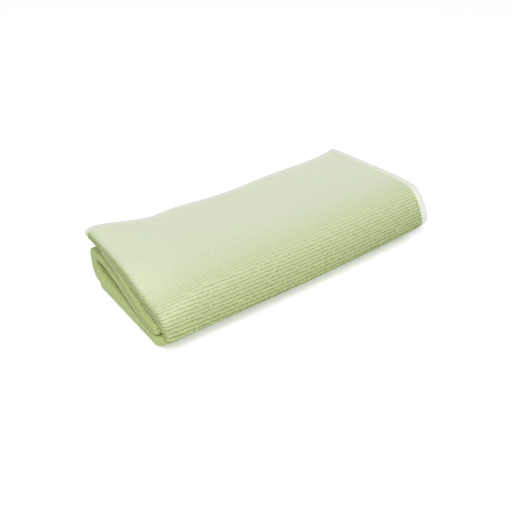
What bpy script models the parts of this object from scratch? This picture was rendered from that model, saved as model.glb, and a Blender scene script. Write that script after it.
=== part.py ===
"""Folded microfibre cloth with an overlocked edge.

One cut of ribbed cloth is folded across its ribs into a strip of two plies. The strip is
then folded twice along the ribs into a flat pack of four turns, eight plies high.
Units are metres. X runs along the ribs, the rounded front fold faces -Y, and Z is up.
The pack rests on Z = 0 with its length and depth centred on the origin.
"""
import math
from collections import namedtuple

import bmesh
import bpy
from mathutils import Vector

# ---- driving dimensions ------------------------------------------------------------------

PACK_LENGTH = 0.201        # along the ribs, from the left folds to the right hems
PACK_DEPTH = 0.092         # from the front fold to the back hem on top
BACK_FOLD_IN = 0.005       # how far the bottom's back fold stands in front of that hem
INNER_HEM_IN = 0.016       # and the hem of the inner turn
PLY = 0.0028               # thickness of the cloth
PLY_GAP = 0.0007           # between the two plies of the strip
STRIP_GAP = 0.0016         # between one turn of the strip and the next
LOOSE_BACK = 0.007         # beside the back fold, where its left end draws in
NOSE_ROOM = 0.0025         # hollow between the front fold and the fold inside it

EDGE_WIDTH = 0.006         # width of the overlocked edge
EDGE_CLEARANCE = 0.0003    # keeps the edging off the cut side of the cloth
EDGE_ROUNDING = 0.0008     # width of the bevel along its outer rims

RIB_PITCH = 0.00195
RIB_HEIGHT = 0.0004
RIB_WALK = 0.00005         # step of the walk that spaces the ribs on the folded cloth
RIB_FADE = 0.25            # share of the lower front over which they die away

COLUMNS = 11               # along the ribs of each ply
COLUMN_CROWDING = 1.4      # above 1 they stand closer at the left end
ROW_SPACING = 0.012        # across them, where no ribs are raised
CREASE_STEPS = 4           # round the left fold of the strip
BEND_STEPS = 6             # round each of its small bends
TOP_ROWS = 8               # a face without ribs keeps one row in this many on the top
FRONT_ROWS = 2             # and one in this many round the front fold

CLOTH_COLOUR = (0.45, 0.54, 0.23, 1.0)     # pale apple green
EDGING_COLOUR = (0.72, 0.76, 0.66, 1.0)    # off-white thread
CLOTH_ROUGHNESS = 0.95
EDGING_ROUGHNESS = 0.9

# The pack was folded by hand, so it isn't square. Each table gives a place and how far the
# cloth is out there. A share runs from 0 at the left folds to 1 at the right hems.
HEM_WAVE = (                      # share, how far the top's hem stands back
    (0.0, -0.0024), (0.06, -0.0009), (0.2, -0.0080), (0.36, -0.0066),
    (0.5, -0.0086), (0.65, -0.0074), (0.88, -0.0049), (1.0, 0.0001),
)
FRONT_BULGE = 0.0018              # the middle of the front fold stands forward
RECENTRE = 0.0012                 # sets the pack back, as its bulge goes forward
CROWN = 0.0008                    # the middle of the top stands up
CORNER_LIFT = 0.0020              # the top's corner at the back left stands up
CORNER_REACH = 0.045
GAPE = (                          # share of the height, how far the back left gapes there
    (0.0, 0.0), (0.05, 0.0005), (0.19, 0.0065), (0.28, 0.0105), (0.6, 0.0055), (1.0, 0.0015),
)
GAPE_REACH = 0.090
SAG_PLACES = (0.0, 0.14, 0.5, 1.0)    # shares at which the sag's four columns stand
SAG = (                           # y, how far the top has sunk at the end, left, middle, right
    (-0.048, 0.0140, 0.0140, 0.0135, 0.0070),
    (-0.044, 0.0135, 0.0105, 0.0090, 0.0050),
    (-0.040, 0.0130, 0.0070, 0.0050, 0.0030),
    (-0.032, 0.0120, 0.0050, 0.0020, -0.0005),
    (-0.022, 0.0095, 0.0032, 0.0003, -0.0015),
    (-0.010, 0.0050, 0.0018, 0.0, -0.0015),
    (0.004, 0.0010, 0.0005, 0.0, -0.0012),
    (0.046, 0.0, 0.0, 0.0, 0.0),
)

# ---- values worked out from them ---------------------------------------------------------

PLY_OFFSET = (PLY + PLY_GAP) / 2
STRIP_HALF = PLY_OFFSET + PLY / 2
STRIP_PITCH = 2 * STRIP_HALF + STRIP_GAP
SMALL_BEND = STRIP_PITCH / 2
FRONT_BEND = 3 * STRIP_PITCH / 2
PACK_HEIGHT = 2 * STRIP_HALF + 3 * STRIP_PITCH
BOTTOM_TOP = 2 * STRIP_HALF                    # upper side of the bottom turn
TOP_BOTTOM = PACK_HEIGHT - 2 * STRIP_HALF      # under side of the top turn
HALF_DEPTH = PACK_DEPTH / 2
TOP_HEM_Y = HALF_DEPTH - EDGE_WIDTH - EDGE_CLEARANCE
FRONT_BEND_Y = -HALF_DEPTH + STRIP_HALF + FRONT_BEND
BACK_BEND_Y = HALF_DEPTH - BACK_FOLD_IN - STRIP_HALF - SMALL_BEND
INNER_HEM_Y = TOP_HEM_Y - INNER_HEM_IN
INNER_BEND_Y = -HALF_DEPTH + 2 * STRIP_HALF + NOSE_ROOM + STRIP_HALF + SMALL_BEND

# The strip's middle line, from the free hem on top to the free hem inside. A turn of 0 is
# a straight run. left_in and right_in are how far the strip's left fold and right hems
# stand inside the pack's ends where the run starts.
Run = namedtuple("Run", "name length radius turn left_in right_in")
RUNS = (
    Run("top", TOP_HEM_Y - FRONT_BEND_Y, 0, 0, 0.0025, 0.0020),
    Run("upper front", math.pi / 2 * FRONT_BEND, FRONT_BEND, math.pi / 2, 0.0035, 0.0),
    Run("lower front", math.pi / 2 * FRONT_BEND, FRONT_BEND, math.pi / 2, 0.0020, 0.0020),
    Run("bottom", BACK_BEND_Y - FRONT_BEND_Y - LOOSE_BACK, 0, 0, 0.0, 0.0110),
    Run("bottom back", LOOSE_BACK, 0, 0, 0.0, 0.0090),
    Run("back fold", math.pi * SMALL_BEND, SMALL_BEND, math.pi, 0.0020, 0.0080),
    Run("inner back", LOOSE_BACK, 0, 0, 0.0020, 0.0070),
    Run("inner bottom", BACK_BEND_Y - INNER_BEND_Y - LOOSE_BACK, 0, 0, 0.0010, 0.0050),
    Run("inner fold", math.pi * SMALL_BEND, SMALL_BEND, -math.pi, 0.0040, 0.0050),
    Run("inner top", INNER_HEM_Y - INNER_BEND_Y, 0, 0, 0.0040, 0.0040),
    Run("end", 0, 0, 0, 0.0080, 0.0030),
)
RIBBED_RUNS = ("top", "upper front", "lower front")


def smooth(value):
    """Ease from 0 to 1 as value goes from 0 to 1."""
    value = min(max(value, 0.0), 1.0)
    return value * value * (3 - 2 * value)


def read_curve(places, values, at):
    """Return the value at one place of a smooth curve through the given points."""
    at = min(max(at, places[0]), places[-1])
    end = next(index for index in range(1, len(places)) if at <= places[index])
    start, before, after = end - 1, max(end - 2, 0), min(end + 1, len(places) - 1)
    step = places[end] - places[start]
    leave = step * (values[end] - values[before]) / (places[end] - places[before])
    reach = step * (values[after] - values[start]) / (places[after] - places[start])
    t = (at - places[start]) / step
    near = values[start] * (2 * t ** 3 - 3 * t ** 2 + 1) + leave * (t ** 3 - 2 * t ** 2 + t)
    return near + values[end] * (3 * t ** 2 - 2 * t ** 3) + reach * (t ** 3 - t ** 2)


def read_rows(rows, at):
    """Read a two-column table at one place."""
    return read_curve(*zip(*rows), at)


def sag_at(along, y):
    """Return how far the top has sunk at a share of the length and a place across it."""
    places, *columns = zip(*SAG)
    return read_curve(SAG_PLACES, [read_curve(places, column, y) for column in columns], along)


# ---- the strip's middle line -------------------------------------------------------------

Station = namedtuple("Station", "y z heading left right run share")


def follow_run(run, y, z, heading, share):
    """Return y, z and heading at a share of one run that starts at the given ones."""
    if not run.turn:
        reach = run.length * share
        return y + reach * math.cos(heading), z + reach * math.sin(heading), heading
    side = math.copysign(1, run.turn)
    centre_y = y - side * run.radius * math.sin(heading)
    centre_z = z + side * run.radius * math.cos(heading)
    heading += run.turn * share
    y = centre_y + side * run.radius * math.sin(heading)
    z = centre_z - side * run.radius * math.cos(heading)
    return y, z, heading


def start_runs():
    """Return where each run starts: along the strip, and its y, z and heading."""
    along, spot = 0.0, (TOP_HEM_Y, PACK_HEIGHT - STRIP_HALF, math.pi)
    starts = []
    for run in RUNS:
        starts.append((along, spot))
        along += run.length
        spot = follow_run(run, *spot, 1.0)
    return starts


STARTS = start_runs()


def station_at(along):
    """Return the strip's station at a distance from the hem on top."""
    index = 0
    while index < len(RUNS) - 2 and along >= STARTS[index + 1][0]:
        index += 1
    run, following = RUNS[index], RUNS[index + 1]
    start, spot = STARTS[index]
    share = min(max((along - start) / run.length, 0.0), 1.0)
    left = run.left_in + (following.left_in - run.left_in) * smooth(share)
    right = run.right_in + (following.right_in - run.right_in) * smooth(share)
    return Station(*follow_run(run, *spot, share), left, right, run.name, share)


def rib_stations():
    """Return a station for each crest and furrow, evenly spaced on the settled cloth."""
    ribs_end = STARTS[len(RIBBED_RUNS)][0]
    stations, along, passed = [station_at(0.0)], 0.0, 0.0
    last = place(stations[0], MIDDLE, PLY / 2)
    while along < ribs_end - RIB_PITCH / 2:
        along += RIB_WALK
        station = station_at(along)
        point = place(station, MIDDLE, PLY / 2)
        passed += (point - last).length
        last = point
        if passed >= RIB_PITCH / 2:
            stations.append(station)
            passed -= RIB_PITCH / 2
    return stations


def plain_stations():
    """Return the stations of the runs that carry no ribs, up to the hem inside."""
    stations = []
    for run, (start, _) in zip(RUNS, STARTS):
        if run.name in RIBBED_RUNS or not run.length:
            continue
        steps = BEND_STEPS if run.turn else math.ceil(run.length / ROW_SPACING)
        stations += [station_at(start + run.length * step / steps) for step in range(steps)]
    return stations + [station_at(STARTS[-1][0])]


# ---- from the flat cloth to the folded pack ----------------------------------------------

# A column runs along the hems of the strip's two plies: angle is where it lies round the
# left fold, from the outer ply to the inner one, and share how far it is towards the hems.
Column = namedtuple("Column", "angle share")
MIDDLE = Column(math.pi / 2, 0.5)


def list_columns():
    """Return the columns from the outer ply's right hem, round the fold, to the inner's."""
    shares = [(step / COLUMNS) ** COLUMN_CROWDING for step in range(COLUMNS + 1)]
    outer = [Column(math.pi / 2, share) for share in shares[:0:-1]]
    crease = [Column(math.pi * (0.5 - step / CREASE_STEPS), 0.0) for step in range(CREASE_STEPS)]
    inner = [Column(-math.pi / 2, share) for share in shares]
    return outer + crease + inner


def place(station, column, offset, past_side=0.0, past_end=0.0):
    """Return the point of the pack that lies offset outwards from the middle of a ply.

    past_side goes beyond the right hem and past_end goes beyond the row, along the strip.
    """
    radius = PLY_OFFSET + offset
    left = -PACK_LENGTH / 2 + station.left + STRIP_HALF
    right = PACK_LENGTH / 2 - station.right - EDGE_WIDTH - EDGE_CLEARANCE
    x = left - radius * math.cos(column.angle) + (right - left) * column.share + past_side
    out = radius * math.sin(column.angle)
    y = station.y + out * math.sin(station.heading) + past_end * math.cos(station.heading)
    z = station.z - out * math.cos(station.heading) + past_end * math.sin(station.heading)
    return settle(x, y, z, station)


def settle(x, y, z, station):
    """Move a point of the square pack to where the real pack, folded by hand, has it."""
    along = min(max(x / PACK_LENGTH + 0.5, 0.0), 1.0)
    from_left = along * PACK_LENGTH
    front = smooth(-y / HALF_DEPTH)
    back = smooth((y + HALF_DEPTH) / PACK_DEPTH)
    level = (z - BOTTOM_TOP) / (TOP_BOTTOM - BOTTOM_TOP)
    sink = sag_at(along, y) * min(max(level, 0.0), 1.0)
    gape = read_rows(GAPE, z / PACK_HEIGHT) * smooth(1 - from_left / GAPE_REACH) * back ** 2
    lift = CORNER_LIFT * smooth(1 - from_left / CORNER_REACH) * smooth(y / HALF_DEPTH) * smooth(level)
    crown = CROWN * math.sin(math.pi * along) * z / PACK_HEIGHT
    if station.run == "top":
        y += read_rows(HEM_WAVE, along) * (1 - station.share)
    y += RECENTRE - FRONT_BULGE * math.sin(math.pi * along) * front
    z += gape + lift + crown - sink
    return Vector((x, y, z))


def rib_at(index, station):
    """Return how far a rib stands up at one row: every second row is a crest."""
    if station.run not in RIBBED_RUNS or index % 2 == 0:
        return 0.0
    dying = station.run == "lower front"
    return RIB_HEIGHT * (smooth((1 - station.share) / RIB_FADE) if dying else 1.0)


def is_plain_row(index, station):
    """Tell whether a row is one of the few that a face without ribs needs."""
    if station.run not in RIBBED_RUNS:
        return True
    return index % (TOP_ROWS if station.run == "top" else FRONT_ROWS) == 0


# ---- meshes ------------------------------------------------------------------------------

def add_strip_face(mesh, stations, columns, offset, ribbed):
    """Add one side of the cloth as a grid and return its rows of vertices."""
    rows = []
    for index, station in enumerate(stations):
        height = rib_at(index, station) if ribbed else 0.0
        rows.append([mesh.verts.new(place(station, column, offset + height)) for column in columns])
    for near, far in zip(rows, rows[1:]):
        for corner in range(len(columns) - 1):
            mesh.faces.new((near[corner], near[corner + 1], far[corner + 1], far[corner]))
    return rows


def build_cloth(stations, columns):
    """Build the cloth as one closed sheet: ribbed outside, plain where its plies face."""
    mesh = bmesh.new()
    plain = [index for index, station in enumerate(stations) if is_plain_row(index, station)]
    outside = add_strip_face(mesh, stations, columns, PLY / 2, ribbed=True)
    inside = add_strip_face(mesh, [stations[index] for index in plain], columns, -PLY / 2, ribbed=False)
    for side in (0, -1):
        for row, (start, end) in enumerate(zip(plain, plain[1:])):
            rim = [outside[index][side] for index in range(start, end + 1)]
            mesh.faces.new(rim + [inside[row + 1][side], inside[row][side]])
    for row in (0, -1):
        for corner in range(len(columns) - 1):
            ends = (corner, corner + 1)
            mesh.faces.new([outside[row][end] for end in ends] + [inside[row][end] for end in reversed(ends)])
    return mesh


def edge_section():
    """Return the edging's section as pairs: how far past the cloth, and how far off its middle."""
    near = EDGE_CLEARANCE
    far = EDGE_CLEARANCE + EDGE_WIDTH
    half = PLY / 2
    return (
        (near, -half), (far - EDGE_ROUNDING, -half), (far, -half + EDGE_ROUNDING),
        (far, half - EDGE_ROUNDING), (far - EDGE_ROUNDING, half), (near, half),
    )


def build_edging(stations, columns):
    """Build the overlocked edge as a closed ring round the four hems of the cloth."""
    mesh = bmesh.new()
    last = len(columns) - 1
    first_hem = [(stations[0], column, index in (0, last), -1) for index, column in enumerate(columns)]
    inner_side = [(station, columns[-1], 1, 0) for station in stations[1:-1]]
    last_hem = [(stations[-1], column, index in (0, last), 1) for index, column in enumerate(columns)]
    outer_side = [(station, columns[0], 1, 0) for station in stations[1:-1]]
    rings = []
    for station, column, side, end in first_hem + inner_side + last_hem[::-1] + outer_side[::-1]:
        points = [place(station, column, off, side * past, end * past) for past, off in edge_section()]
        rings.append([mesh.verts.new(point) for point in points])
    for ring, following in zip(rings, rings[1:] + rings[:1]):
        for corner in range(len(ring)):
            after = (corner + 1) % len(ring)
            mesh.faces.new((ring[corner], ring[after], following[after], following[corner]))
    return mesh


def add_object(name, mesh, colour, roughness):
    """Turn a finished bmesh into an object with its own fabric material."""
    bmesh.ops.recalc_face_normals(mesh, faces=mesh.faces)
    data = bpy.data.meshes.new(name)
    mesh.to_mesh(data)
    mesh.free()
    material = bpy.data.materials.new(name)
    material.use_nodes = True
    shader = material.node_tree.nodes["Principled BSDF"]
    shader.inputs["Base Color"].default_value = colour
    shader.inputs["Roughness"].default_value = roughness
    shader.inputs["Metallic"].default_value = 0.0
    data.materials.append(material)
    piece = bpy.data.objects.new(name, data)
    bpy.context.collection.objects.link(piece)
    return piece


for leftover in list(bpy.data.objects):
    bpy.data.objects.remove(leftover)

strip = rib_stations() + plain_stations()
hem_columns = list_columns()
plain_strip = [station for index, station in enumerate(strip) if is_plain_row(index, station)]
add_object("cloth", build_cloth(strip, hem_columns), CLOTH_COLOUR, CLOTH_ROUGHNESS)
add_object("edging", build_edging(plain_strip, hem_columns), EDGING_COLOUR, EDGING_ROUGHNESS)
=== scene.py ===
import math
from collections import namedtuple

import bpy
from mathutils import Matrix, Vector, noise


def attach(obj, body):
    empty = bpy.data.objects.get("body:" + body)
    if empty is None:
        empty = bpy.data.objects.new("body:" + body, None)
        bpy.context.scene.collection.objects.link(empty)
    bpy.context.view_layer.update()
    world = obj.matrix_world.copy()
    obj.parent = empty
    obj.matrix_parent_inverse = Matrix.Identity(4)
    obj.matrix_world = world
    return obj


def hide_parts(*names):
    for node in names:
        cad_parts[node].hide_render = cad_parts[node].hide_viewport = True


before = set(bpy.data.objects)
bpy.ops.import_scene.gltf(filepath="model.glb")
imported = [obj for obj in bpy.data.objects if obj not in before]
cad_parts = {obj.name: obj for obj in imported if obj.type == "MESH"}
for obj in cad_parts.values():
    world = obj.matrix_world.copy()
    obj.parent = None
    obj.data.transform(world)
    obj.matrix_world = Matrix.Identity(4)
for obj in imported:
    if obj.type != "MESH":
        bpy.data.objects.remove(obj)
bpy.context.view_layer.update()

# ---- The cloth ---------------------------------------------------------------------------
# One cut of warp-knitted polyester and polyamide microfibre, raised in fine ribs. It is
# folded once across the ribs into a strip of two plies, and the strip twice along them.
# Nothing holds it: it lies in the pack by its own creases.

MM = 0.001
PACK_LENGTH = 201 * MM            # from the left folds to the right hems
PACK_DEPTH = 92 * MM              # from the front fold to the hem on top
BACK_FOLD_IN = 5 * MM             # the bottom's back fold stands in front of that hem
INNER_HEM_IN = 16 * MM            # and so does the hem of the inner turn
NOSE_ROOM = 2.5 * MM              # hollow between the front fold and the fold inside it
PLY = 2.8 * MM
PLY_GAP = 0.7 * MM
STRIP_GAP = 1.6 * MM
LOOSE_BACK = 7 * MM               # beside the back fold, where its left end draws in
EDGE_WIDTH = 6.2 * MM             # of the white edging, past the cut side of the cloth
EDGE_CLEARANCE = 0.3 * MM
RIB_PITCH = 1.95 * MM
RIB_HEIGHT = 0.6 * MM
CREASE_SQUARENESS = 0.5           # 1 is a round fold, and less is squarer

PLY_OFFSET = (PLY + PLY_GAP) / 2
STRIP_HALF = PLY_OFFSET + PLY / 2
STRIP_PITCH = 2 * STRIP_HALF + STRIP_GAP
SMALL_BEND = STRIP_PITCH / 2
FRONT_BEND = 3 * STRIP_PITCH / 2
PACK_HEIGHT = 2 * STRIP_HALF + 3 * STRIP_PITCH
BOTTOM_TOP = 2 * STRIP_HALF
TOP_BOTTOM = PACK_HEIGHT - 2 * STRIP_HALF
HALF_DEPTH = PACK_DEPTH / 2
TOP_HEM_Y = HALF_DEPTH - EDGE_WIDTH - EDGE_CLEARANCE
INNER_HEM_Y = TOP_HEM_Y - INNER_HEM_IN
FRONT_BEND_Y = -HALF_DEPTH + STRIP_HALF + FRONT_BEND
BACK_BEND_Y = HALF_DEPTH - BACK_FOLD_IN - STRIP_HALF - SMALL_BEND
INNER_BEND_Y = -HALF_DEPTH + 2 * STRIP_HALF + NOSE_ROOM + STRIP_HALF + SMALL_BEND

# The strip's middle line, from the free hem on top to the free hem inside. left_in and
# right_in are how far its left fold and right hems stand inside the pack's ends where the
# run starts, and rib_rows is how many rows of points shape one rib.
Run = namedtuple("Run", "name length radius turn left_in right_in rib_rows")
RUNS = (
    Run("top", TOP_HEM_Y - FRONT_BEND_Y, 0, 0, 2.5 * MM, 3.3 * MM, 6),
    Run("upper front", math.pi / 2 * FRONT_BEND, FRONT_BEND, math.pi / 2, 3.5 * MM, 1.4 * MM, 8),
    Run("lower front", math.pi / 2 * FRONT_BEND, FRONT_BEND, math.pi / 2, 3.4 * MM, 2.0 * MM, 8),
    Run("bottom", BACK_BEND_Y - FRONT_BEND_Y - LOOSE_BACK, 0, 0, 0.8 * MM, 11.0 * MM, 3),
    Run("bottom back", LOOSE_BACK, 0, 0, 1.2 * MM, 9.0 * MM, 3),
    Run("back fold", math.pi * SMALL_BEND, SMALL_BEND, math.pi, 3.0 * MM, 8.0 * MM, 4),
    Run("inner back", LOOSE_BACK, 0, 0, 3.2 * MM, 7.0 * MM, 3),
    Run("inner bottom", BACK_BEND_Y - INNER_BEND_Y - LOOSE_BACK, 0, 0, 3.6 * MM, 5.0 * MM, 2),
    Run("inner fold", math.pi * SMALL_BEND, SMALL_BEND, -math.pi, 1.2 * MM, 5.0 * MM, 3),
    Run("inner top", INNER_HEM_Y - INNER_BEND_Y, 0, 0, 1.2 * MM, 4.0 * MM, 2),
    Run("end", 0, 0, 0, 4.5 * MM, 3.0 * MM, 0),
)

# The pack was folded by hand, so it isn't square. Each table gives a place and how far the
# cloth is out there. A share runs from 0 at the left folds to 1 at the right hems.
HEM_WAVE = (                         # share, how far back the hem on top is set
    (0.0, -1.2 * MM), (0.06, 0.3 * MM), (0.2, -6.8 * MM), (0.3, -5.6 * MM),
    (0.42, -7.6 * MM), (0.52, -8.0 * MM), (0.65, -6.0 * MM), (0.88, -4.6 * MM), (1.0, 0.9 * MM),
)
GAPE = (                             # share of the height, how far the left end is raised
    (0.0, 0.0), (0.05, 0.5 * MM), (0.19, 4.2 * MM), (0.28, 10.5 * MM),
    (0.6, 5.5 * MM), (1.0, 1.5 * MM),
)
GAPE_REACH = 90 * MM                 # from the left folds
GAPE_FADE = 1.4                      # how fast the gap closes from the back to the front
SAG_PLACES = (0.0, 0.14, 0.5, 1.0)   # shares at which the sag's four columns stand
SAG = (                              # y, how far the top has sunk at the end, left, middle, right
    (-48 * MM, 14.0 * MM, 14.0 * MM, 13.5 * MM, 7.0 * MM),
    (-44 * MM, 13.5 * MM, 10.5 * MM, 9.0 * MM, 5.0 * MM),
    (-40 * MM, 13.0 * MM, 7.0 * MM, 5.0 * MM, 3.0 * MM),
    (-32 * MM, 12.0 * MM, 5.0 * MM, 2.0 * MM, -0.5 * MM),
    (-22 * MM, 9.5 * MM, 3.2 * MM, 0.3 * MM, -1.5 * MM),
    (-10 * MM, 5.0 * MM, 1.8 * MM, 0.0, -1.5 * MM),
    (4 * MM, 1.0 * MM, 0.5 * MM, 0.0, -1.2 * MM),
    (36 * MM, 0.0, 0.0, 0.0, 0.0),
    (47 * MM, 1.8 * MM, 1.8 * MM, 1.8 * MM, 1.2 * MM),
)
FRONT_BULGE = 1.8 * MM               # how far the front stands out at mid length
RECENTRE = 1.2 * MM                  # sets the pack back, as its bulge goes forward
CROWN = 0.8 * MM                     # how far the top rises at mid length
CORNER_LIFT = 2.0 * MM               # of the top's back left corner
CORNER_REACH = 45 * MM               # from the left folds

# A station is a place on the strip's middle line, with its run and the share of it done. A
# column is a place round the strip there: its angle is pi / 2 on the outer ply and -pi / 2
# on the inner, and its share runs from the left fold to the right hems.
Station = namedtuple("Station", "y z heading left right run share")
Column = namedtuple("Column", "angle share")


def smooth(value):
    """Ease from 0 to 1 as the value does, and stay there beyond."""
    value = min(max(value, 0.0), 1.0)
    return value * value * (3 - 2 * value)


def read_curve(places, values, at):
    """Return the value at one place of a smooth curve through the given points."""
    at = min(max(at, places[0]), places[-1])
    end = next(index for index in range(1, len(places)) if at <= places[index])
    start, before, after = end - 1, max(end - 2, 0), min(end + 1, len(places) - 1)
    step = places[end] - places[start]
    leave = step * (values[end] - values[before]) / (places[end] - places[before])
    reach = step * (values[after] - values[start]) / (places[after] - places[start])
    t = (at - places[start]) / step
    near = values[start] * (2 * t ** 3 - 3 * t ** 2 + 1) + leave * (t ** 3 - 2 * t ** 2 + t)
    return near + values[end] * (3 * t ** 2 - 2 * t ** 3) + reach * (t ** 3 - t ** 2)


def read_rows(rows, at):
    """Return the value at one place of a smooth curve through rows of place and value."""
    return read_curve(*zip(*rows), at)


def sag_at(along, y):
    """Return how far the top has sunk at a share of the length and a place across it."""
    places, *columns = zip(*SAG)
    return read_curve(SAG_PLACES, [read_curve(places, column, y) for column in columns], along)


def follow_run(run, y, z, heading, share):
    """Return y, z and heading at a share of one run that starts at the given ones."""
    if not run.turn:
        reach = run.length * share
        return y + reach * math.cos(heading), z + reach * math.sin(heading), heading
    side = math.copysign(1, run.turn)
    centre_y = y - side * run.radius * math.sin(heading)
    centre_z = z + side * run.radius * math.cos(heading)
    heading += run.turn * share
    y = centre_y + side * run.radius * math.sin(heading)
    z = centre_z - side * run.radius * math.cos(heading)
    return y, z, heading


def run_starts():
    """Return the strip's length, and the place of each run's start, from hem to hem."""
    along, place = 0.0, (TOP_HEM_Y, PACK_HEIGHT - STRIP_HALF, math.pi)
    starts = []
    for run in RUNS:
        starts.append((along, place))
        along += run.length
        place = follow_run(run, *place, 1.0)
    return along, starts


STRIP_LENGTH, STARTS = run_starts()


def station_at(along):
    """Return the strip's station at a distance from the hem on top."""
    index = 0
    while index < len(RUNS) - 2 and along >= STARTS[index + 1][0]:
        index += 1
    run, following = RUNS[index], RUNS[index + 1]
    start, place = STARTS[index]
    share = min(max((along - start) / run.length, 0.0), 1.0)
    left = run.left_in + (following.left_in - run.left_in) * smooth(share)
    right = run.right_in + (following.right_in - run.right_in) * smooth(share)
    return Station(*follow_run(run, *place, share), left, right, run.name, share)


def square_off(value):
    """Fill out the corners of a round fold, as a pressed crease has them."""
    return math.copysign(abs(value) ** CREASE_SQUARENESS, value)


def place_point(station, column, offset, past_side=0.0, past_end=0.0):
    """Return the point that lies offset outwards from the middle of a ply.

    past_side goes beyond the right hem and past_end goes beyond the row, along the strip.
    """
    radius = PLY_OFFSET + offset
    left = -PACK_LENGTH / 2 + station.left + STRIP_HALF
    right = PACK_LENGTH / 2 - station.right - EDGE_WIDTH - EDGE_CLEARANCE
    x = left - radius * square_off(math.cos(column.angle)) + (right - left) * column.share + past_side
    out = radius * square_off(math.sin(column.angle))
    y = station.y + out * math.sin(station.heading) + past_end * math.cos(station.heading)
    z = station.z - out * math.cos(station.heading) + past_end * math.sin(station.heading)
    return settle(x, y, z, station)


def settle(x, y, z, station):
    """Move a point of the square pack to where the real pack, folded by hand, has it."""
    along = min(max(x / PACK_LENGTH + 0.5, 0.0), 1.0)
    from_left = along * PACK_LENGTH
    front = smooth(-y / HALF_DEPTH)
    back = smooth((y + HALF_DEPTH) / PACK_DEPTH)
    level = (z - BOTTOM_TOP) / (TOP_BOTTOM - BOTTOM_TOP)
    sink = sag_at(along, y) * min(max(level, 0.0), 1.0)
    gape = read_rows(GAPE, z / PACK_HEIGHT) * smooth(1 - from_left / GAPE_REACH) * back ** GAPE_FADE
    lift = CORNER_LIFT * smooth(1 - from_left / CORNER_REACH) * smooth(y / HALF_DEPTH) * smooth(level)
    crown = CROWN * math.sin(math.pi * along) * z / PACK_HEIGHT
    if station.run == "top":
        y += read_rows(HEM_WAVE, along) * (1 - station.share)
    y += RECENTRE - FRONT_BULGE * math.sin(math.pi * along) * front
    z += gape + lift + crown - sink
    return Vector((x, y, z))


def cloth_rows():
    """Return the rows across the strip, closer where the ribs show."""
    rows = []
    for run, (start, _) in zip(RUNS[:-1], STARTS):
        steps = max(2, round(run.length / RIB_PITCH * run.rib_rows))
        rows += [start + run.length * step / steps for step in range(steps)]
    return rows + [STRIP_LENGTH]


OUTER_COLUMNS = 100               # along the outer ply, which shows
INNER_COLUMNS = 8                 # along the inner ply, which is hidden
CREASE_COLUMNS = 14               # round the left fold


def strip_columns(outer_count, inner_count):
    """Return the columns from the outer ply's right hem, round the fold, to the inner's."""
    outer = [Column(math.pi / 2, 1 - step / outer_count) for step in range(outer_count)]
    crease = [Column(math.pi * (0.5 - step / CREASE_COLUMNS), 0.0) for step in range(CREASE_COLUMNS)]
    inner = [Column(-math.pi / 2, step / inner_count) for step in range(inner_count + 1)]
    return outer + crease + inner


# How the pile lies. The pack was pressed from above, so the furrows all but close on top
# and stay open down the front. Low on the front the pack's own weight closes them again.
# The pressing also sets the sheen on top, and a painted pale sheen in its colour.
PRESSED = (                       # y, how flat the top's pile is pressed, its furrows' depth
    (-45 * MM, 0.0, 1.0), (-42 * MM, 0.12, 0.68), (-38 * MM, 0.32, 0.3), (-32 * MM, 0.55, 0.13),
    (-22 * MM, 0.78, 0.08), (-10 * MM, 0.92, 0.05), (46 * MM, 1.0, 0.02),
)
CREASE_FURROWS = 0.6              # their depth on the left fold of the top
HIDDEN_FURROWS = 0.28             # and on the layers below it
LOW_FRONT_LOSS = 0.85             # how much depth the front loses towards the bottom,
LOW_FRONT_SPAN = (-0.02, 0.36)    # and over which share of its lower half
CREST_FULLNESS = 0.6              # below 1 a rib is full and its furrow narrow
RIB_UNEVENNESS = 0.5              # how much the furrows' depth varies, either way
UNEVEN_STRETCH = 4 * MM           # along a rib
NEXT_RIB = 7.3                    # how far off in the noise the next rib lies
PLAIN_ROWS = 8                    # the inside has no ribs and keeps one row in so many


def pile_state(station, column):
    """Return how flat the pile is pressed, which sets its sheen and a painted pale sheen, and how much
    of their depth the furrows and their painted shade keep.
    """
    places, pressed, depths = zip(*PRESSED)
    if station.run == "lower front":
        start, end = LOW_FRONT_SPAN
        return 0.0, 1 - LOW_FRONT_LOSS * smooth((station.share - start) / (end - start))
    if station.run not in ("top", "upper front"):
        return 0.0, HIDDEN_FURROWS
    crease = max(math.cos(column.angle), 0.0)
    depth = read_curve(places, depths, station.y)
    sheen_and_paint_share = read_curve(places, pressed, station.y) * (1 - crease)
    return sheen_and_paint_share, depth + (CREASE_FURROWS - depth) * crease


def resting_share(station):
    """Return how far the ribs are sunk into the cloth, so that the pack rests flat.

    They sink over the last quarter of the lower front, and rise again over the first half of
    the back fold.
    """
    if station.run in ("bottom", "bottom back"):
        return 1.0
    if station.run == "lower front":
        return smooth(4 * station.share - 3)
    if station.run == "back fold":
        return 1 - smooth(2 * station.share)
    return 0.0


def flat_along(column):
    """Return how far along the ribs a column lies from the left fold, on the flat cloth."""
    if column.share > 0:
        return column.share * PACK_LENGTH * math.copysign(1, column.angle)
    return column.angle * STRIP_HALF


def rib_height(station, column, ribs):
    """Return how far the pile stands off the ply: full ribs with narrow furrows."""
    crest = abs(math.sin(math.pi * ribs)) ** CREST_FULLNESS
    place = Vector((flat_along(column) / UNEVEN_STRETCH, math.floor(ribs) * NEXT_RIB, 0.0))
    uneven = 1 + RIB_UNEVENNESS * noise.noise(place)
    furrow = pile_state(station, column)[1] * (crest - 1) * uneven
    return RIB_HEIGHT * (1 + furrow - resting_share(station))


def count_ribs(smooth_rows, first):
    """Return how many ribs lie between the first row and each point of a smooth face."""
    counts = [[0.0] * len(smooth_rows[0])]
    for near, far in zip(smooth_rows, smooth_rows[1:]):
        steps = [(b - a).length / RIB_PITCH for a, b in zip(near, far)]
        counts.append([count + step for count, step in zip(counts[-1], steps)])
    return [[count - start for count, start in zip(row, counts[first])] for row in counts]


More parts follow.
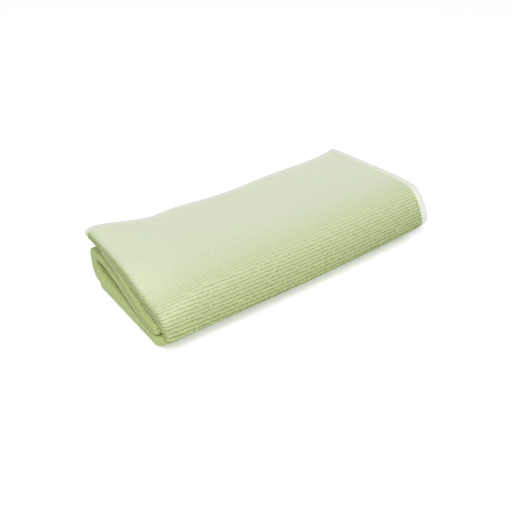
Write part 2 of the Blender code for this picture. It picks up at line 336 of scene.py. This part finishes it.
def add_grid(vertices, faces, grid):
    """Add one side of the cloth and return the first vertex of each of its rows."""
    starts = []
    for row in grid:
        starts.append(len(vertices))
        vertices += row
    for near, far in zip(starts, starts[1:]):
        for corner in range(len(grid[0]) - 1):
            faces.append((near + corner, near + corner + 1, far + corner + 1, far + corner))
    return starts


def build_cloth():
    """Build the cloth as one closed sheet: ribbed outside, plain where its plies face.

    Also return where each point lies on the flat cloth, along the ribs and across them, and
    the state of the pile there.
    """
    vertices, faces, flat, states = [], [], [], []
    columns = strip_columns(OUTER_COLUMNS, INNER_COLUMNS)
    stations = [station_at(along) for along in cloth_rows()]
    first = [station.run for station in stations].index("bottom")
    bare = [[place_point(station, column, PLY / 2) for column in columns] for station in stations]
    counts = count_ribs(bare, first)
    ribbed = [
        [place_point(station, column, PLY / 2 + rib_height(station, column, count))
         for column, count in zip(columns, row)]
        for station, row in zip(stations, counts)
    ]
    outside = add_grid(vertices, faces, ribbed)
    plain = list(range(0, len(stations), PLAIN_ROWS))
    if plain[-1] != len(stations) - 1:
        plain.append(len(stations) - 1)
    first_inside = len(faces)
    inner_face = [[place_point(stations[row], column, -PLY / 2) for column in columns] for row in plain]
    inside = add_grid(vertices, faces, inner_face)
    faces[first_inside:] = [face[::-1] for face in faces[first_inside:]]
    for row in list(range(len(stations))) + plain:
        flat += [(flat_along(column), count * RIB_PITCH) for column, count in zip(columns, counts[row])]
        states += [pile_state(stations[row], column) for column in columns]
    last = len(columns) - 1
    # Close the sheet along the right hems of both plies, and then at both ends of the strip.
    for number, (start, end) in enumerate(zip(plain, plain[1:])):
        for side, order in ((0, 1), (last, -1)):
            rim = [outside[row] + side for row in range(start, end + 1)]
            rim += [inside[number + 1] + side, inside[number] + side]
            faces.append(rim[::order])
    for row, order in ((0, -1), (-1, 1)):
        for corner in range(last):
            rim = (outside[row] + corner, outside[row] + corner + 1,
                   inside[row] + corner + 1, inside[row] + corner)
            faces.append(rim[::order])
    return vertices, faces, flat, states


SHARP_CORNER = math.radians(60)   # a surface that turns by less is shaded smooth


def add_piece(name, vertices, faces):
    """Add one piece to the scene, smooth but for its real corners."""
    mesh = bpy.data.meshes.new(name)
    mesh.from_pydata(vertices, [], faces)
    mesh.shade_smooth()
    mesh.set_sharp_from_angle(angle=SHARP_CORNER)
    piece = bpy.data.objects.new(name, mesh)
    bpy.context.collection.objects.link(piece)
    return piece


def linear(colour):
    """Turn an sRGB hex colour into linear RGBA."""
    values = [int(colour[index:index + 2], 16) / 255 for index in (1, 3, 5)]
    return [v / 12.92 if v <= 0.04045 else ((v + 0.055) / 1.055) ** 2.4 for v in values] + [1.0]


def add_node(tree, kind, settings=(), links=()):
    """Add a node with its settings, and link each input to the given output."""
    node = tree.nodes.new(kind)
    for name, value in dict(settings).items():
        if isinstance(name, int) or name in node.inputs:
            node.inputs[name].default_value = value
        else:
            setattr(node, name, value)
    for name, source in dict(links).items():
        tree.links.new(source, node.inputs[name])
    return node


def new_material(name):
    """Return a new material with its node tree and its shader."""
    material = bpy.data.materials.new(name)
    material.use_nodes = True
    return material, material.node_tree, material.node_tree.nodes["Principled BSDF"]


# Polyester and polyamide, dyed pale green. Its loops are far too fine to show, so each rib
# is drawn in coarser beads of pile instead, about as long as the rib is wide.
PILE_CLUMP = 1.8 * MM             # one bead of pile along a rib
FURROW_SHARE = 0.31               # of half a rib, where it is at its deepest
FURROW_DRIFT = 0.7                # how far a furrow wanders, in ribs
FURROW_STRETCH = 0.7              # changes in its width for each bead and rib
FURROW_WIDTHS = (0.15, 1.7)       # its narrowest and widest, times its share
BEAD_GRAIN = 1.7                  # changes in tone for each bead and rib
BEAD_CONTRAST = 0.68              # how much of the light a gap between beads takes
NOISE_SPAN = (0.35, 0.65)         # what nearly all of a noise's values lie between
# The furrow colour is painted shade, in the furrows and in the gaps between the beads.
FURROW_PAINTED_SHADE = "#546624"
PILE_GREEN = "#a3b36d"
# A pale green painted in where the pile is pressed flat, as sheen.
PAINTED_SHEEN_GREEN = "#c3cbab"


def knitted_microfibre():
    """Split microfibre knit with a looped pile, brushed so that its tips scatter the light.

    The furrows between the ribs are painted a darker green as shade, and each rib breaks up
    into beads of pile, with painted shade in the gaps between them.
    Where the pack was pressed flat the furrows close and the beads even out, and the pile's
    laid tips give it more sheen, with a pale painted sheen mixed into its colour.
    """
    material, tree, shader = new_material("knitted_split_microfibre")
    low, high = NOISE_SPAN
    narrow, wide = FURROW_WIDTHS
    flat = add_node(tree, "ShaderNodeUVMap", {"uv_map": "laid_flat"})
    in_ribs = add_node(
        tree, "ShaderNodeVectorMath",
        {"operation": "MULTIPLY", 1: (1 / PILE_CLUMP, 1 / RIB_PITCH, 1.0)}, {0: flat.outputs["UV"]})
    place = {"Vector": in_ribs.outputs["Vector"]}
    depth = add_node(tree, "ShaderNodeAttribute", {"attribute_name": "furrow_depth"})

    # The furrows: how far each point is from the nearest, against its width there. The colour
    # is painted darker in them, as shade.
    across = add_node(tree, "ShaderNodeSeparateXYZ", (), place)
    clumps = add_node(tree, "ShaderNodeTexNoise", {"Scale": 1.0, "Detail": 2.0}, place)
    drift = add_node(tree, "ShaderNodeMath", {"operation": "MULTIPLY_ADD", 1: FURROW_DRIFT},
                     {0: clumps.outputs["Fac"], 2: across.outputs["Y"]})
    wave = add_node(tree, "ShaderNodeMath", {"operation": "PINGPONG", 1: 0.5},
                    {0: drift.outputs["Value"]})
    stretch = add_node(tree, "ShaderNodeTexNoise", {"Scale": FURROW_STRETCH, "Detail": 2.0}, place)
    uneven = add_node(tree, "ShaderNodeMapRange",
                      {"From Min": low, "From Max": high, "To Min": narrow, "To Max": wide},
                      {"Value": stretch.outputs["Fac"]})
    share = add_node(tree, "ShaderNodeMath", {"operation": "MULTIPLY", 1: FURROW_SHARE},
                     {0: uneven.outputs["Result"]})
    width = add_node(tree, "ShaderNodeMath", {"operation": "MULTIPLY"},
                     {0: depth.outputs["Fac"], 1: share.outputs["Value"]})
    crest = add_node(tree, "ShaderNodeMapRange", {"From Min": 0.0},
                     {"Value": wave.outputs["Value"], "From Max": width.outputs["Value"]})

    # The beads: they break up a rib as far as its furrows are deep, and the gaps between them
    # are painted darker, as shade.
    fine = add_node(tree, "ShaderNodeTexNoise", {"Scale": BEAD_GRAIN, "Detail": 3.0}, place)
    bead = add_node(tree, "ShaderNodeMapRange", {"From Min": low, "From Max": high},
                    {"Value": fine.outputs["Fac"]})
    broken = add_node(tree, "ShaderNodeMath", {"operation": "MULTIPLY"},
                      {0: bead.outputs["Result"], 1: depth.outputs["Fac"]})
    even = add_node(tree, "ShaderNodeMath", {"operation": "SUBTRACT", 0: 1.0},
                    {1: depth.outputs["Fac"]})
    pile = add_node(tree, "ShaderNodeMath", {"operation": "ADD"},
                    {0: broken.outputs["Value"], 1: even.outputs["Value"]})
    body = add_node(tree, "ShaderNodeMath",
                    {"operation": "MULTIPLY_ADD", 1: BEAD_CONTRAST, 2: 1 - BEAD_CONTRAST},
                    {0: pile.outputs["Value"]})
    lit = add_node(tree, "ShaderNodeMath", {"operation": "MULTIPLY"},
                   {0: crest.outputs["Result"], 1: body.outputs["Value"]})

    # The colour with its painted shade, the sheen and painted pale sheen of pressed pile, and
    # the relief of the beads.
    tone = add_node(tree, "ShaderNodeMix",
                    {"data_type": "RGBA", "A": linear(FURROW_PAINTED_SHADE), "B": linear(PILE_GREEN)},
                    {"Factor": lit.outputs["Value"]})
    sheen_and_paint_mask = add_node(tree, "ShaderNodeAttribute", {"attribute_name": "pressed"})
    pressed = add_node(tree, "ShaderNodeMix", {"data_type": "RGBA", "B": linear(PAINTED_SHEEN_GREEN)},
                       {"Factor": sheen_and_paint_mask.outputs["Fac"], "A": tone.outputs["Result"]})
    bump = add_node(tree, "ShaderNodeBump", {"Strength": 0.8, "Distance": 0.4 * MM},
                    {"Height": lit.outputs["Value"]})
    tree.links.new(pressed.outputs["Result"], shader.inputs["Base Color"])
    tree.links.new(bump.outputs["Normal"], shader.inputs["Normal"])
    tree.links.new(sheen_and_paint_mask.outputs["Fac"], shader.inputs["Sheen Weight"])
    shader.inputs["Roughness"].default_value = 0.55
    shader.inputs["IOR"].default_value = 1.5
    shader.inputs["Specular IOR Level"].default_value = 0.9
    shader.inputs["Sheen Roughness"].default_value = 0.5
    return material


cloth_vertices, cloth_faces, flat_places, pile_states = build_cloth()
cloth = add_piece("folded_microfibre", cloth_vertices, cloth_faces)
laid_flat = cloth.data.uv_layers.new(name="laid_flat")
for loop in cloth.data.loops:
    laid_flat.data[loop.index].uv = flat_places[loop.vertex_index]
# The first sets the sheen and the painted pale sheen, the second the furrows and their painted shade.
for name, values in zip(("pressed", "furrow_depth"), zip(*pile_states)):
    cloth.data.attributes.new(name, "FLOAT", "POINT").data.foreach_set("value", values)
cloth.data.materials.append(knitted_microfibre())
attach(cloth, "root")
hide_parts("cloth")

# ---- The edging --------------------------------------------------------------------------
# White polyester thread, overlocked round all four sides of the cut in close stitches. It
# wraps the cut side of the cloth from one face to the other, and follows every fold.

STITCH_PITCH = 1.6 * MM           # real stitches are closer, and too fine to show
STITCH_STEPS = 4                  # rings of points for each stitch
STITCH_RISE = 0.25 * MM
RIM_STEPS = 6                     # round the outer side
THREAD_TWIST = MM / 3             # the thread's own twist is finer, and wouldn't show
THREAD_SHADE = "#c6c8bf"
THREAD_WHITE = "#dcded6"
THREAD_OVER_GREEN = "#d0d8ac"
GREEN_REACH = 0.4                 # share of its width where the green shows through


def edge_section():
    """Return the edging's outline as pairs: how far past the hem, and off the middle."""
    near, far, half = EDGE_CLEARANCE, EDGE_CLEARANCE + EDGE_WIDTH, PLY / 2
    arc = [math.pi * step / RIM_STEPS - math.pi / 2 for step in range(RIM_STEPS + 1)]
    rounded = [(far - half + half * math.cos(a), half * math.sin(a)) for a in arc]
    middle = (near + far - half) / 2
    return [(near, -half), (middle, -half)] + rounded + [(middle, half), (near, half)]


def edge_path():
    """Return the places round the cloth's four hems, as place_point takes them."""
    step = STITCH_PITCH / STITCH_STEPS
    row_count = round(STRIP_LENGTH / step)
    rows = [STRIP_LENGTH * n / row_count for n in range(1, row_count)]
    count = round(PACK_LENGTH / step)
    columns = strip_columns(count, count)
    last = len(columns) - 1
    top, end = station_at(0.0), station_at(STRIP_LENGTH)
    path = [(top, column, index in (0, last), -1) for index, column in enumerate(columns)]
    path += [(station_at(along), columns[-1], 1, 0) for along in rows]
    path += [(end, column, index in (0, last), 1) for index, column in enumerate(columns)][::-1]
    path += [(station_at(along), columns[0], 1, 0) for along in reversed(rows)]
    return path


def build_edging():
    """Build the ring of thread, and say how far each of its points lies beyond the hem."""
    vertices, faces, beyond = [], [], []
    section, path = edge_section(), edge_path()
    size, total = len(section), len(path)
    for number, (station, column, side, end) in enumerate(path):
        beyond += [past / EDGE_WIDTH for past, _ in section]
        between = 0.5 + 0.5 * math.cos(2 * math.pi * number / STITCH_STEPS)
        thickness = 1 - between * STITCH_RISE / (PLY / 2)
        for past, off in section:
            vertices.append(place_point(station, column, off * thickness, side * past, end * past))
    for ring in range(total):
        near, far = ring * size, (ring + 1) % total * size
        for corner in range(size):
            after = (corner + 1) % size
            faces.append((near + corner, near + after, far + after, far + corner))
    return vertices, faces, beyond


def overlock_thread():
    """Textured polyester thread, laid side by side, which leaves a matt and soft white.

    It is thin beside the hem, so the cloth's green shows through it there.
    """
    material, tree, shader = new_material("overlocked_polyester_thread")
    place = add_node(tree, "ShaderNodeTexCoord")
    twist = add_node(tree, "ShaderNodeTexNoise", {"Scale": 1 / THREAD_TWIST, "Detail": 3.0},
                     {"Vector": place.outputs["Object"]})
    tone = add_node(tree, "ShaderNodeMix",
                    {"data_type": "RGBA", "A": linear(THREAD_SHADE), "B": linear(THREAD_WHITE)},
                    {"Factor": twist.outputs["Fac"]})
    beyond = add_node(tree, "ShaderNodeAttribute", {"attribute_name": "beyond_hem"})
    covered = add_node(tree, "ShaderNodeMapRange", {"From Min": 0.0, "From Max": GREEN_REACH},
                       {"Value": beyond.outputs["Fac"]})
    seen = add_node(tree, "ShaderNodeMix", {"data_type": "RGBA", "A": linear(THREAD_OVER_GREEN)},
                    {"Factor": covered.outputs["Result"], "B": tone.outputs["Result"]})
    bump = add_node(tree, "ShaderNodeBump", {"Strength": 0.3, "Distance": 0.2 * MM},
                    {"Height": twist.outputs["Fac"]})
    tree.links.new(seen.outputs["Result"], shader.inputs["Base Color"])
    tree.links.new(bump.outputs["Normal"], shader.inputs["Normal"])
    shader.inputs["Roughness"].default_value = 0.8
    shader.inputs["Sheen Weight"].default_value = 0.2
    return material


edging_vertices, edging_faces, edging_beyond = build_edging()
edging = add_piece("overlocked_edge", edging_vertices, edging_faces)
edging.data.attributes.new("beyond_hem", "FLOAT", "POINT").data.foreach_set("value", edging_beyond)
edging.data.materials.append(overlock_thread())
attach(edging, "root")
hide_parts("edging")

# ---- The floor ---------------------------------------------------------------------------
# Matt white paper, laid flat under the pack. It glows a little, so that it comes out as the
# plain white of the photo and still takes the pack's soft shadow.

FLOOR_SIZE = 6.0
FLOOR_WHITE = "#d6d4dc"
PLAIN_WHITE = "#ffffff"
FLOOR_GLOW = 0.335

half = FLOOR_SIZE / 2
floor_mesh = bpy.data.meshes.new("studio_floor")
floor_mesh.from_pydata(
    [(-half, -half, 0), (half, -half, 0), (half, half, 0), (-half, half, 0)], [], [(0, 1, 2, 3)])
floor = bpy.data.objects.new("studio_floor", floor_mesh)
bpy.context.collection.objects.link(floor)
paper, tree, shader = new_material("matt_white_paper")
shader.inputs["Base Color"].default_value = linear(FLOOR_WHITE)
shader.inputs["Roughness"].default_value = 0.9
shader.inputs["Emission Color"].default_value = linear(PLAIN_WHITE)
shader.inputs["Emission Strength"].default_value = FLOOR_GLOW
floor_mesh.materials.append(paper)

# ---- The light ---------------------------------------------------------------------------
# White surroundings light the pack evenly from all sides and keep its shadow soft. One large
# soft light, high up in front and to the left, brightens the top and the front.

SURROUND_STRENGTH = 0.645
SOFTBOX_PLACE = Vector((-0.812, -0.966, 1.822))
SOFTBOX_AIM = Vector((0, 0, 0.02))
SOFTBOX_SIZE = 1.6
SOFTBOX_WATTS = 36.8

world = bpy.data.worlds.new("studio")
bpy.context.scene.world = world
world.use_nodes = True
world.node_tree.nodes["Background"].inputs["Color"].default_value = linear(PLAIN_WHITE)
world.node_tree.nodes["Background"].inputs["Strength"].default_value = SURROUND_STRENGTH

light = bpy.data.lights.new("key_softbox", "AREA")
light.shape = "DISK"
light.size = SOFTBOX_SIZE
light.energy = SOFTBOX_WATTS
softbox = bpy.data.objects.new("key_softbox", light)
bpy.context.collection.objects.link(softbox)
softbox.location = SOFTBOX_PLACE
softbox.rotation_euler = (SOFTBOX_AIM - SOFTBOX_PLACE).to_track_quat("-Z", "Y").to_euler()

# ---- The camera --------------------------------------------------------------------------
# It is held without roll in front of the left end, where the photo was taken from. Its
# place, tilt and lens come from fitting the pack's outline to the photo.

CAMERA_PLACE = Vector((-0.2240, -0.2860, 0.2400))
CAMERA_TURN = math.radians(37.1)       # from looking along +Y, towards +X
CAMERA_TILT = math.radians(33.6)       # down from level
FOCAL_PIXELS = 690.6                   # for an image 512 pixels wide
IMAGE_PIXELS = 512
SENSOR = 36.0

camera = bpy.data.cameras.new("camera")
camera.sensor_width = SENSOR
camera.lens = FOCAL_PIXELS / IMAGE_PIXELS * SENSOR
view = bpy.data.objects.new("camera", camera)
bpy.context.collection.objects.link(view)
view.location = CAMERA_PLACE
view.rotation_euler = (math.pi / 2 - CAMERA_TILT, 0.0, -CAMERA_TURN)
bpy.context.scene.camera = view
bpy.context.scene.view_settings.view_transform = "Standard"
